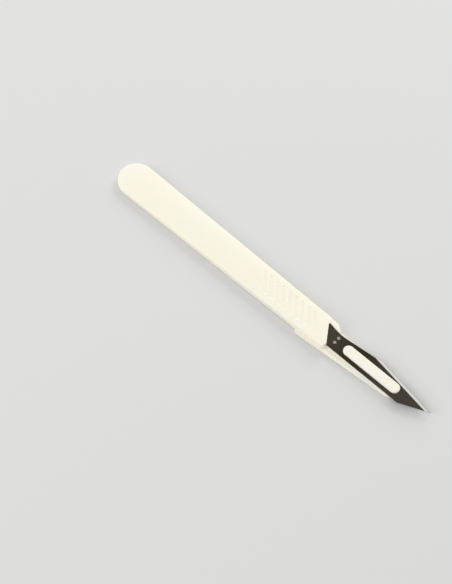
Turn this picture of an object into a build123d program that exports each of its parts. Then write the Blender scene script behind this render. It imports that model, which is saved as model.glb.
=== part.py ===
from build123d import *
from math import radians, sqrt, tan
import os

# Disposable scalpel: a moulded handle with a steel blade held on its front face.
# X runs from the butt to the blade's point, the cutting side is +Y and the spine side -Y,
# and the flat back lies on Z = 0. The origin is under the middle of the whole length.
# All lengths are in millimetres and all angles in degrees.

# Blade, measured along X from the rear corner of its heel before that is rounded, and across
# from the slot's middle
blade_length = 52.0
blade_thickness = 0.4
spine_offset = 3.72
heel_offset = 4.06
heel_slant = 5.4
heel_corner_radius = 0.4
waist_from_heel = 10.0
waist_offset = 3.42
belly_from_heel = 27.85
belly_offset = 5.4
point_offset = 1.62
clip_length = 12.0
slot_from_heel = 11.5
slot_to_point = 14.6
slot_width = 3.6

# Edge, ground on both faces and honed more steeply along its outer part
grind_width = 1.45
hone_width = 0.55
hone_thickness = 0.22
edge_land = 0.02

# Handle body
butt_to_heel = 107.6
butt_radius = 7.65
neck_half_width = 5.8
neck_from_heel = 8.0
butt_thickness = 3.0
neck_thickness = 3.9
crown_radius = 60.0
front_edge_radius = 0.5
back_edge_radius = 0.7
shoulder_corner_radius = 1.0

# Cheek, the corner of the body that wraps the cutting side of the heel and falls towards the tip
cheek_from_heel = 3.4
cheek_length = 2.7
cheek_corner_radius = 1.0
cheek_slope = 12.0

# Seat, the thinner plate under the blade, with a lower ledge on the spine side
seat_height = 2.0
seat_edge_radius = 0.25
seat_edge_offset = 4.1
seat_tip_offset = 4.0
seat_margin = 0.2
seat_spine_corner_radius = 4.2
seat_edge_corner_radius = 3.6
flare_before_heel = 7.1
flare_offset = 7.55
flare_corner_radius = 0.8
ledge_step = 0.4
ledge_angle = 10.0

# Boss through the slot, its head flattened over the blade
boss_clearance = 0.05
boss_lip = 0.4
head_height = 0.65
head_edge_radius = 0.5
pocket_clearance = 0.1

# Slanted grip flutes, and the round gate dimple on the back
flute_count = 9
flute_from_butt = 78.5
flute_pitch = 3.24
flute_slant = 49.0
flute_length = 11.6
flute_radius = 1.2
flute_depth = 0.35
back_flutes_left_out = 2
gate_from_butt = 81.7
gate_radius = 0.9
gate_depth = 0.4

# Places along X, the slot between its two ends, and levels
butt_x = -(butt_to_heel + blade_length) / 2
heel_x = butt_x + butt_to_heel
point_x = heel_x + blade_length
slot_length = blade_length - slot_from_heel - slot_to_point
slot_x = heel_x + slot_from_heel + slot_length / 2
neck_x = heel_x + neck_from_heel
shoulder_end_x = heel_x + heel_slant - pocket_clearance
cheek_x = heel_x + cheek_from_heel
flare_x = heel_x - flare_before_heel
seat_rear_x = flare_x - (flare_offset - seat_edge_offset)
seat_end_x = slot_x + slot_length / 2 + boss_lip + seat_margin
blade_top = seat_height + blade_thickness


def slot_outline(level, margin):
    """Outline of the blade's slot at a level, widened all round by a margin."""
    with BuildSketch(Plane.XY.offset(level)) as outline:
        with Locations((slot_x, 0)):
            SlotOverall(slot_length + 2 * margin, slot_width + 2 * margin)
    return outline.sketch


def body_side(x):
    """Distance of the tapered body's sides from the centre line."""
    along = (x - butt_x - butt_radius) / (neck_x - butt_x - butt_radius)
    return butt_radius + along * (neck_half_width - butt_radius)


def front_height(x):
    """Height of the front face along its middle, which rises steadily from the butt to the neck."""
    return butt_thickness + (x - butt_x) / (neck_x - butt_x) * (neck_thickness - butt_thickness)


def crown_fall(distance):
    """How far the crowned front face falls at a distance from its middle."""
    return crown_radius - sqrt(crown_radius**2 - distance**2)


# Flat outline of the blade
belly = Vector(heel_x + belly_from_heel, belly_offset)
point = Vector(point_x, point_offset)
heel_corner = Vector(heel_x, heel_offset)
heel_end = Vector(heel_x + heel_slant, -spine_offset)

with BuildSketch(Plane.XY.offset(seat_height)) as blade_plan:
    with BuildLine():
        back_of_belly = Line(belly, (heel_x + waist_from_heel, waist_offset))
        TangentArc(back_of_belly @ 1, heel_corner, tangent=back_of_belly % 1)
        Polyline(heel_corner, heel_end, (point_x - clip_length, -spine_offset), point, belly)
    make_face()
    fillet(blade_plan.vertices().sort_by_distance(heel_corner)[0], radius=heel_corner_radius)

# Blade: the slotted outline, then both faces ground down to the straight edge
blade_slot = slot_outline(seat_height, 0)
edge_level = seat_height + blade_thickness / 2
to_edge_level = Vector(0, 0, edge_level)
edge_line = Edge.make_line(belly + to_edge_level, point + to_edge_level)
across_edge = Plane(edge_line @ 0, x_dir=(edge_line % 0).cross(Vector(0, 0, 1)), z_dir=edge_line % 0)
grind_slope = (blade_thickness - hone_thickness) / 2 / (grind_width - hone_width)
far_side_height = hone_thickness / 2 + grind_slope * (blade_length - hone_width)

with BuildPart() as blade:
    extrude(blade_plan.sketch, amount=blade_thickness)
    extrude(blade_slot, amount=blade_thickness, mode=Mode.SUBTRACT)
    with BuildSketch(across_edge):
        with BuildLine():
            Polyline(
                (0, 0),
                (0, edge_land / 2),
                (hone_width, hone_thickness / 2),
                (blade_length, far_side_height),
                (blade_length, 0),
                close=True,
            )
        make_face()
        mirror(about=Plane.XZ)
    extrude(amount=blade_length, both=True, mode=Mode.INTERSECT)
blade.part.label = "blade"

# Cutter for one grip flute, a bar with round ends laid along X
with BuildPart() as flute_cutter:
    bar_half_length = flute_length / 2 - flute_radius
    Cylinder(flute_radius, 2 * bar_half_length, rotation=(0, 90, 0))
    with Locations((-bar_half_length, 0, 0), (bar_half_length, 0, 0)):
        Sphere(flute_radius)

# Space above the crowned front face, and above the cheek where it slopes away from the shoulder.
# The slope starts level with the face, just inside the rounded corner of the heel.
front_reach = butt_radius + 1.0
crown_drop = crown_fall(front_reach)
front_ridge = Edge.make_line((butt_x, 0, butt_thickness), (neck_x, 0, neck_thickness))
across_front = Plane(front_ridge @ 0, x_dir=(0, 1, 0), z_dir=front_ridge % 0)
shoulder_run = (heel_end - heel_corner).normalized()
crease_start = heel_corner + shoulder_run * 3 * heel_corner_radius
crease_start += Vector(0, 0, front_height(crease_start.X) - crown_fall(crease_start.Y))
across_shoulder = Plane(crease_start, x_dir=Vector(0, 0, 1).cross(shoulder_run), z_dir=shoulder_run)
cheek_reach = neck_from_heel + front_reach
cheek_fall = tan(radians(cheek_slope)) * cheek_reach

with BuildPart() as above_front:
    with BuildSketch(across_front):
        with BuildLine():
            crown = ThreePointArc((-front_reach, -crown_drop), (0, 0), (front_reach, -crown_drop))
            Polyline(
                crown @ 1, (front_reach, neck_thickness), (-front_reach, neck_thickness), crown @ 0
            )
        make_face()
    extrude(amount=front_ridge.length + front_reach)
    extrude(above_front.faces().sort_by(Axis.X)[0], amount=front_reach)
    with BuildSketch(across_shoulder):
        with BuildLine():
            Polyline(
                (0, 0),
                (cheek_reach, -cheek_fall),
                (cheek_reach, neck_thickness),
                (0, neck_thickness),
                close=True,
            )
        make_face()
    extrude(amount=2 * front_reach, both=True)

# Body: the tapered grip with its round butt, cut back in front to take the blade's heel.
# The front edges that reach the heel's corner stay sharp, and all the others are rounded.
pocket_plan = offset(blade_plan.sketch, amount=pocket_clearance)
shoulder_corner = Vector(shoulder_end_x, -body_side(shoulder_end_x))
cheek_start = Vector(cheek_x, body_side(cheek_x))
cheek_end = Vector(cheek_x + cheek_length, seat_edge_offset)
cheek_root = heel_offset + pocket_clearance + back_edge_radius
edges_at_heel = 5

with BuildPart() as body:
    with BuildSketch() as body_plan:
        with Locations((butt_x + butt_radius, 0)):
            Circle(butt_radius)
        with BuildLine():
            Line((neck_x, -neck_half_width), (neck_x, neck_half_width))
        make_hull()
        with BuildLine():
            Polyline(
                cheek_end,
                cheek_start * 2 - cheek_end,
                (neck_x + front_reach, front_reach),
                (neck_x + front_reach, -front_reach),
                (shoulder_end_x, -front_reach),
                (shoulder_end_x, -spine_offset),
                close=True,
            )
        make_face(mode=Mode.SUBTRACT)
        for corner, corner_radius in (
            (cheek_start, cheek_corner_radius),
            (shoulder_corner, shoulder_corner_radius),
        ):
            fillet(body_plan.vertices().sort_by_distance(corner)[0], radius=corner_radius)
    extrude(amount=neck_thickness + crown_drop)
    fillet(body.edges().group_by(Axis.Z)[0], radius=back_edge_radius)
    extrude(pocket_plan, amount=2 * neck_thickness, both=True, mode=Mode.SUBTRACT)
    add(above_front.part, mode=Mode.SUBTRACT)
    front_edges = body.edges(Select.LAST).filter_by(Axis.Z, reverse=True)
    fillet(front_edges.sort_by_distance(crease_start)[edges_at_heel:], radius=front_edge_radius)

# Handle: the seat plate with its ledge, joined to the body, then the boss and the grip
ledge_start = -(spine_offset + pocket_clearance)
ledge_end = -(flare_offset + 1.0)
ledge_level = seat_height - ledge_step
ledge_fall = tan(radians(ledge_angle)) * (ledge_start - ledge_end)
boss_stem = slot_outline(seat_height, -boss_clearance)
boss_head = slot_outline(blade_top, boss_lip)

with BuildPart() as handle:
    with BuildSketch() as seat_plan:
        with BuildLine():
            Polyline(
                (seat_rear_x, cheek_root),
                (seat_rear_x, -seat_edge_offset),
                (flare_x, -flare_offset),
                (seat_end_x, -seat_tip_offset),
                (seat_end_x, seat_edge_offset),
                cheek_end,
                (cheek_x, cheek_root),
                close=True,
            )
        make_face()
        for corner, corner_radius in (
            ((flare_x, -flare_offset), flare_corner_radius),
            ((seat_end_x, -seat_tip_offset), seat_spine_corner_radius),
            ((seat_end_x, seat_edge_offset), seat_edge_corner_radius),
        ):
            fillet(seat_plan.vertices().sort_by_distance(corner)[0], radius=corner_radius)
    extrude(amount=seat_height)
    fillet(handle.edges().group_by(Axis.Z)[-1], radius=seat_edge_radius)
    with BuildSketch(Plane.YZ.offset(seat_rear_x)):
        with BuildLine():
            Polyline(
                (ledge_start, ledge_level),
                (ledge_end, ledge_level - ledge_fall),
                (ledge_end, blade_top),
                (ledge_start, blade_top),
                close=True,
            )
        make_face()
    extrude(amount=seat_end_x - seat_rear_x, mode=Mode.SUBTRACT)
    fillet(handle.edges().group_by(Axis.Z)[0], radius=back_edge_radius)
    add(body.part)
    extrude(boss_stem, amount=blade_thickness)
    extrude(boss_head, amount=head_height)
    fillet(handle.edges(Select.LAST).group_by(Axis.Z)[-1], radius=head_edge_radius)

    flute_x = [butt_x + flute_from_butt + turn * flute_pitch for turn in range(flute_count)]
    flute_lift = flute_radius - flute_depth
    front_flutes = [(x, 0, front_height(x) + flute_lift) for x in flute_x]
    back_flutes = [(x, 0, -flute_lift) for x in flute_x[back_flutes_left_out:]]
    for place in front_flutes + back_flutes:
        with Locations(Location(place, (0, 0, -flute_slant))):
            add(flute_cutter.part, mode=Mode.SUBTRACT)
    with BuildSketch():
        with Locations((butt_x + gate_from_butt, 0)):
            Circle(gate_radius)
    extrude(amount=gate_depth, mode=Mode.SUBTRACT)
handle.part.label = "handle"

os.makedirs("parts", exist_ok=True)
for piece in (handle, blade):
    export_step(piece.part, f"parts/{piece.part.label}.step")
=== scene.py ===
import bpy
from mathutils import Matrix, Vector


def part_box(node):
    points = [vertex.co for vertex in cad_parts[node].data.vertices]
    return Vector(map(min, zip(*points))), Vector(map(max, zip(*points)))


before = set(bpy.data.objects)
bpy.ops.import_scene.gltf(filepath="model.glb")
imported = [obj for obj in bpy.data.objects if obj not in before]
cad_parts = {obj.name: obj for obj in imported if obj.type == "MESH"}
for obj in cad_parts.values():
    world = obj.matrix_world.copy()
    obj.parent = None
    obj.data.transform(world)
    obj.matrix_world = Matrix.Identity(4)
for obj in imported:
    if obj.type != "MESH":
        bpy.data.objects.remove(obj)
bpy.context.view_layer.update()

# Lengths are in metres. X runs from the butt to the blade's point, +Y is the cutting side,
# and the flat back lies on Z = 0.
MM = 0.001

# Straight cutting edge, from the belly to the point, and the widths ground along it
point_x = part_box("blade")[1][0]
heel_x = point_x - 52.0 * MM
edge_belly = Vector((heel_x + 27.85 * MM, 5.4 * MM, 0))
edge_point = Vector((point_x, 1.62 * MM, 0))
grind_width = 1.45 * MM
hone_width = 0.55 * MM

# Painted reflection on the flats, darkest halfway along the boss
dark_reflection_middle = heel_x + 17.0 * MM
dark_reflection_reach = 15.0 * MM

# Etched mark between the heel and the boss: two small lozenges side by side across the blade
mark_centre = Vector((heel_x + 7.0 * MM, 0.35 * MM, 0))
lozenge_spacing = 2.3 * MM
lozenge_half_diagonal = 0.8 * MM

# Photograph's view of the scalpel
camera_place = (0.16477, -0.19853, 0.46147)
camera_target = (-0.01267, -0.01035, -0.0046)
camera_lens = 83.9

# Even white light from all round the scalpel
studio_glow = 0.668


def linear(code):
    """Linear colour of an sRGB hex code."""
    channels = [int(code[start:start + 2], 16) / 255 for start in (0, 2, 4)]
    return [c / 12.92 if c <= 0.04045 else ((c + 0.055) / 1.055) ** 2.4 for c in channels] + [1]


def new_material(name):
    """An empty material with its output, as (material, node tree, output node)."""
    material = bpy.data.materials.new(name)
    material.use_nodes = True
    material.node_tree.nodes.clear()
    output = material.node_tree.nodes.new("ShaderNodeOutputMaterial")
    return material, material.node_tree, output


def add_node(tree, kind, settings=None, **inputs):
    """A node of a kind with its settings, each input given as a value or as a socket to link.

    An input goes by its name, or by an underscore and its number where several share a name.
    """
    made = tree.nodes.new("ShaderNode" + kind)
    for name, value in (settings or {}).items():
        setattr(made, name, value)
    for name, value in inputs.items():
        socket = made.inputs[int(name[1:]) if name[1:].isdigit() else name.replace("_", " ")]
        if isinstance(value, bpy.types.NodeSocket):
            tree.links.new(value, socket)
        else:
            socket.default_value = value
    return made


def ivory_plastic():
    """Injection-moulded ivory ABS: a satin skin with a fine mould grain over a faint inner glow."""
    material, tree, output = new_material("injection_moulded_ivory_abs")
    place = add_node(tree, "TexCoord").outputs["Object"]

    # Tone drifts along the handle as the melt flowed
    tone_patch = 33 * MM
    flow = add_node(tree, "TexNoise", Vector=place, Scale=1 / tone_patch, Detail=2, Roughness=0.4)
    tone = add_node(
        tree, "Mix", {"data_type": "RGBA"},
        _0=flow.outputs["Fac"], _6=linear("FCF4DB"), _7=linear("FEF9EF"),
    )

    # Spark-eroded mould grain is about 0.05 mm across, and is drawn coarser to show
    mould_grain = 0.5 * MM
    grain_depth = 0.05 * MM
    grain = add_node(tree, "TexNoise", Vector=place, Scale=1 / mould_grain, Detail=3, Roughness=0.6)
    gloss = add_node(
        tree, "MapRange",
        Value=grain.outputs["Fac"], From_Min=0.3, From_Max=0.7, To_Min=0.3, To_Max=0.44,
    )
    relief = add_node(tree, "Bump", Strength=0.25, Distance=grain_depth, Height=grain.outputs["Fac"])

    # The skin shrinks a little unevenly as it cools
    skin_wave = 4 * MM
    wave_depth = 0.06 * MM
    waves = add_node(tree, "TexNoise", Vector=place, Scale=1 / skin_wave, Detail=1)
    skin = add_node(
        tree, "Bump", Strength=0.2, Distance=wave_depth, Height=waves.outputs["Fac"],
        Normal=relief.outputs["Normal"],
    )
    glow_depth = 1.4 * MM
    shader = add_node(
        tree, "BsdfPrincipled", Base_Color=tone.outputs["Result"], Roughness=gloss.outputs["Result"],
        IOR=1.54, Normal=skin.outputs["Normal"], Subsurface_Weight=0.3, Subsurface_Scale=glow_depth,
        Subsurface_Radius=(1.0, 0.8, 0.5),
    )
    tree.links.new(shader.outputs["BSDF"], output.inputs["Surface"])
    return material


def blade_steel():
    """Rolled carbon steel, finely polished, its edge ground on both faces; the flats are dark partly
    from the steel's dark polish and partly as painted dark reflection, and the edge bands carry painted
    reflection.
    """
    material, tree, output = new_material("polished_rolled_carbon_steel")
    place = add_node(tree, "TexCoord").outputs["Object"]

    # Distance in from the edge, which bounds the ground and the honed bands
    along = (edge_point - edge_belly).normalized()
    inward = Vector((along.y, -along.x, 0))
    across = add_node(tree, "VectorMath", {"operation": "DOT_PRODUCT"}, _0=place, _1=inward)
    depth = add_node(
        tree, "Math", {"operation": "SUBTRACT"}, _0=across.outputs["Value"], _1=edge_belly.dot(inward)
    ).outputs[0]
    ground = add_node(tree, "Math", {"operation": "LESS_THAN"}, _0=depth, _1=grind_width).outputs[0]
    honed = add_node(tree, "Math", {"operation": "LESS_THAN"}, _0=depth, _1=hone_width).outputs[0]

    # Two etched lozenges: each is where the distances along its diagonals add up to less than half
    # a diagonal
    from_middle = add_node(
        tree, "VectorMath", {"operation": "SUBTRACT"}, _0=place, _1=mark_centre
    ).outputs["Vector"]
    mirrored = add_node(
        tree, "VectorMath", {"operation": "ABSOLUTE"}, _0=from_middle
    ).outputs["Vector"]
    beside = add_node(
        tree, "VectorMath", {"operation": "SUBTRACT"}, _0=mirrored, _1=(0, lozenge_spacing / 2, 0)
    ).outputs["Vector"]
    diagonals = add_node(tree, "VectorMath", {"operation": "ABSOLUTE"}, _0=beside).outputs["Vector"]
    from_lozenge = add_node(
        tree, "VectorMath", {"operation": "DOT_PRODUCT"}, _0=diagonals, _1=(1, 1, 0)
    ).outputs["Value"]
    etched = add_node(
        tree, "Math", {"operation": "LESS_THAN"}, _0=from_lozenge, _1=lozenge_half_diagonal
    ).outputs[0]

    # Rolling lines along the strip and grinding lines square to the edge are about 0.02 mm apart,
    # and are drawn coarser to show
    rolling_line_length = 25 * MM
    rolling_line_spacing = 0.5 * MM
    grinding_line_length = 4 * MM
    grinding_line_spacing = 0.3 * MM
    rolled = add_node(
        tree, "Mapping", Vector=place,
        Scale=(1 / rolling_line_length, 1 / rolling_line_spacing, 1 / rolling_line_length),
    )
    rolling = add_node(tree, "TexNoise", Vector=rolled.outputs[0], Scale=1, Detail=3)
    turned = add_node(tree, "VectorMath", {"operation": "DOT_PRODUCT"}, _0=place, _1=along)
    stretched = add_node(tree, "CombineXYZ", X=turned.outputs["Value"], Y=depth)
    squared = add_node(
        tree, "Mapping", Vector=stretched.outputs[0],
        Scale=(1 / grinding_line_spacing, 1 / grinding_line_length, 1),
    )
    grinding = add_node(tree, "TexNoise", Vector=squared.outputs[0], Scale=1, Detail=2)
    lines = add_node(
        tree, "Mix", _0=ground, _2=rolling.outputs["Fac"], _3=grinding.outputs["Fac"]
    ).outputs["Result"]

    # Painted reflection on the flats: dark olive halfway along the boss, fading to a lighter painted
    # sheen towards the heel and the point, with a cloudy margin
    reflection_patch_size = 9 * MM
    reflection_mottling = 0.6
    split = add_node(tree, "SeparateXYZ", Vector=place)
    offset_from_dark_reflection = add_node(
        tree, "Math", {"operation": "SUBTRACT"}, _0=split.outputs["X"], _1=dark_reflection_middle
    ).outputs[0]
    distance_from_dark_reflection = add_node(tree, "Math", {"operation": "ABSOLUTE"}, _0=offset_from_dark_reflection).outputs[0]
    reflection_lightening = add_node(
        tree, "MapRange", {"interpolation_type": "SMOOTHSTEP"},
        Value=distance_from_dark_reflection, From_Max=dark_reflection_reach, To_Min=-0.3, To_Max=0.7,
    ).outputs["Result"]
    reflection_noise = add_node(tree, "TexNoise", Vector=place, Scale=1 / reflection_patch_size, Detail=2).outputs["Fac"]
    painted_sheen = add_node(
        tree, "Math", {"operation": "MULTIPLY_ADD"}, _0=reflection_noise, _1=reflection_mottling, _2=reflection_lightening
    ).outputs[0]
    # Flat tones: dark partly as the steel's own dark polish and partly as painted dark reflection of the
    # surroundings; the olive is a painted reflection of the ivory boss
    flat = add_node(
        tree, "Mix", {"data_type": "RGBA"}, _0=painted_sheen, _6=linear("3E3828"), _7=linear("504A42")
    ).outputs["Result"]
    # Ground bands painted light grey as a painted bright reflection, and the honed band along the very
    # edge painted darker as a painted dark reflection
    bevel = add_node(
        tree, "Mix", {"data_type": "RGBA"}, _0=honed, _6=linear("C4C2BE"), _7=linear("989591")
    ).outputs["Result"]
    steel = add_node(tree, "Mix", {"data_type": "RGBA"}, _0=ground, _6=flat, _7=bevel).outputs["Result"]
    colour = add_node(
        tree, "Mix", {"data_type": "RGBA"}, _0=etched, _6=steel, _7=linear("A6A29C")
    ).outputs["Result"]
    polish = add_node(
        tree, "MapRange", Value=lines, From_Min=0.3, From_Max=0.7, To_Min=0.2, To_Max=0.3
    ).outputs["Result"]

    # The ground bands are duller than the flats, and the etched mark is duller still
    ground_dullness = 0.2
    etched_dullness = 0.4
    dulled = add_node(
        tree, "Math", {"operation": "MULTIPLY_ADD"}, _0=ground, _1=ground_dullness, _2=polish
    ).outputs[0]
    rough = add_node(
        tree, "Math", {"operation": "MULTIPLY_ADD"}, _0=etched, _1=etched_dullness, _2=dulled
    ).outputs[0]
    line_depth = 0.01 * MM
    relief = add_node(tree, "Bump", Strength=0.15, Distance=line_depth, Height=lines)
    shader = add_node(
        tree, "BsdfPrincipled", Base_Color=colour, Metallic=1, Roughness=rough,
        Normal=relief.outputs["Normal"],
    )
    tree.links.new(shader.outputs["BSDF"], output.inputs["Surface"])
    return material


def studio_floor():
    """Smooth matt card in pale grey, which takes the scalpel's shadow."""
    material, tree, output = new_material("pale_grey_card")
    shader = add_node(tree, "BsdfDiffuse", Color=linear("DFDFDE"))
    tree.links.new(shader.outputs["BSDF"], output.inputs["Surface"])
    mesh = bpy.data.meshes.new("studio_floor")
    reach = 3.0

    # Just under the flat back, so that the two faces don't coincide
    level = -0.05 * MM
    mesh.from_pydata(
        [(-reach, -reach, level), (reach, -reach, level), (reach, reach, level), (-reach, reach, level)],
        [], [(0, 1, 2, 3)],
    )
    mesh.materials.append(material)
    floor = bpy.data.objects.new("studio_floor", mesh)
    bpy.context.collection.objects.link(floor)


def aim(thing, target):
    """Turns a lamp or camera towards a point."""
    thing.rotation_euler = (Vector(target) - thing.location).to_track_quat("-Z", "Y").to_euler()


def softbox(name, place, size, power):
    """A square studio lamp that faces the scalpel, its size in metres and its power in watts."""
    lamp = bpy.data.lights.new(name, "AREA")
    lamp.size = size
    lamp.energy = power
    lamp_object = bpy.data.objects.new(name, lamp)
    lamp_object.location = place
    aim(lamp_object, (0, 0, 0))
    bpy.context.collection.objects.link(lamp_object)


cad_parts["handle"].material_slots[0].material = ivory_plastic()
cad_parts["blade"].material_slots[0].material = blade_steel()

studio_floor()
softbox("key", place=(-0.2, 0.95, 0.52), size=0.7, power=5.05)
softbox("fill", place=(-0.6, -0.85, 0.6), size=0.8, power=4.8)

world = bpy.data.worlds.new("studio")
world.use_nodes = True
world.node_tree.nodes["Background"].inputs["Color"].default_value = (1, 1, 1, 1)
world.node_tree.nodes["Background"].inputs["Strength"].default_value = studio_glow
bpy.context.scene.world = world
bpy.context.scene.view_settings.view_transform = "Standard"

camera = bpy.data.cameras.new("camera")
camera.lens = camera_lens
camera_object = bpy.data.objects.new("camera", camera)
camera_object.location = camera_place
aim(camera_object, camera_target)
bpy.context.collection.objects.link(camera_object)
bpy.context.scene.camera = camera_object
